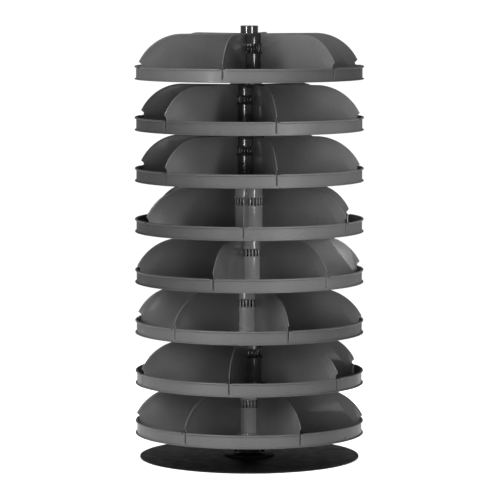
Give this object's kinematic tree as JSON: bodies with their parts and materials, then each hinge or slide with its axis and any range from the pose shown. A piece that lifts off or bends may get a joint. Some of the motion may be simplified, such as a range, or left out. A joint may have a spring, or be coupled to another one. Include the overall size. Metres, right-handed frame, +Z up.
{
  "type": "revolving parts carousel",
  "caption": "Tall revolving storage carousel of round sheet-steel tiers with wedge compartments, each tier turning on a central post above a round base plate.",
  "frame": {"origin": "on the floor under the post's axis, at the middle of the base plate's underside", "axes": "+Z up along the post, -Y towards the front, +X to the right seen from the front"},
  "size_m": [0.864, 0.864, 1.634],
  "materials": {
    "tier_paint": "semi-gloss grey powder coat",
    "divider_paint": "glossier, lighter grey powder coat",
    "hub_paint": "smooth gloss grey paint",
    "dark_hub_paint": "glossy dark enamel",
    "post_paint": "glossy dark enamel",
    "base_paint": "fine-textured black powder coat",
    "bush_nylon": "matte moulded nylon",
    "plug_plastic": "matte moulded plastic",
    "bare_steel": "turned steel, lightly oiled",
    "black_steel": "black-oxide fastener",
    "plated_steel": "zinc-plated fastener"
  },
  "bodies": {
    "stand": {"base_plate": "base_paint", "post_socket": "base_paint", "socket_bolts": "black_steel", "post": "post_paint", "post_pin": "bare_steel", "post_plug": "plug_plastic", "tier_collars": "bare_steel", "collar_screws": "plated_steel", "thrust_washers": "bare_steel"},
    "tier_1": {"tier_1_floor": "tier_paint", "tier_1_rim": "tier_paint", "tier_1_dividers": "divider_paint", "tier_1_hub": "hub_paint", "tier_1_bushes": "bush_nylon", "tier_1_rivets": "plated_steel"},
    "tier_2": {"tier_2_floor": "tier_paint", "tier_2_rim": "tier_paint", "tier_2_dividers": "divider_paint", "tier_2_hub": "dark_hub_paint", "tier_2_bushes": "bush_nylon", "tier_2_rivets": "plated_steel"},
    "tier_3": {"tier_3_floor": "tier_paint", "tier_3_rim": "tier_paint", "tier_3_dividers": "divider_paint", "tier_3_hub": "hub_paint", "tier_3_bushes": "bush_nylon", "tier_3_rivets": "plated_steel"},
    "tier_4": {"tier_4_floor": "tier_paint", "tier_4_rim": "tier_paint", "tier_4_dividers": "divider_paint", "tier_4_hub": "hub_paint", "tier_4_bushes": "bush_nylon", "tier_4_rivets": "plated_steel"},
    "tier_5": {"tier_5_floor": "tier_paint", "tier_5_rim": "tier_paint", "tier_5_dividers": "divider_paint", "tier_5_hub": "hub_paint", "tier_5_bushes": "bush_nylon", "tier_5_rivets": "plated_steel"},
    "tier_6": {"tier_6_floor": "tier_paint", "tier_6_rim": "tier_paint", "tier_6_dividers": "divider_paint", "tier_6_hub": "dark_hub_paint", "tier_6_bushes": "bush_nylon", "tier_6_rivets": "plated_steel"},
    "tier_7": {"tier_7_floor": "tier_paint", "tier_7_rim": "tier_paint", "tier_7_dividers": "divider_paint", "tier_7_hub": "dark_hub_paint", "tier_7_bushes": "bush_nylon", "tier_7_rivets": "plated_steel"},
    "tier_8": {"tier_8_floor": "tier_paint", "tier_8_rim": "tier_paint", "tier_8_dividers": "divider_paint", "tier_8_hub": "dark_hub_paint", "tier_8_bushes": "bush_nylon", "tier_8_rivets": "plated_steel"}
  },
  "joints": [
    {"name": "tier_1_turn", "type": "hinge", "parent": "stand", "child": "tier_1", "pos_m": [0, 0, 0.144], "axis": [0, 0, 1], "continuous": true},
    {"name": "tier_2_turn", "type": "hinge", "parent": "stand", "child": "tier_2", "pos_m": [0, 0, 0.3355], "axis": [0, 0, 1], "continuous": true},
    {"name": "tier_3_turn", "type": "hinge", "parent": "stand", "child": "tier_3", "pos_m": [0, 0, 0.527], "axis": [0, 0, 1], "continuous": true},
    {"name": "tier_4_turn", "type": "hinge", "parent": "stand", "child": "tier_4", "pos_m": [0, 0, 0.7185], "axis": [0, 0, 1], "continuous": true},
    {"name": "tier_5_turn", "type": "hinge", "parent": "stand", "child": "tier_5", "pos_m": [0, 0, 0.91], "axis": [0, 0, 1], "continuous": true},
    {"name": "tier_6_turn", "type": "hinge", "parent": "stand", "child": "tier_6", "pos_m": [0, 0, 1.1015], "axis": [0, 0, 1], "continuous": true},
    {"name": "tier_7_turn", "type": "hinge", "parent": "stand", "child": "tier_7", "pos_m": [0, 0, 1.293], "axis": [0, 0, 1], "continuous": true},
    {"name": "tier_8_turn", "type": "hinge", "parent": "stand", "child": "tier_8", "pos_m": [0, 0, 1.4845], "axis": [0, 0, 1], "continuous": true}
  ]
}
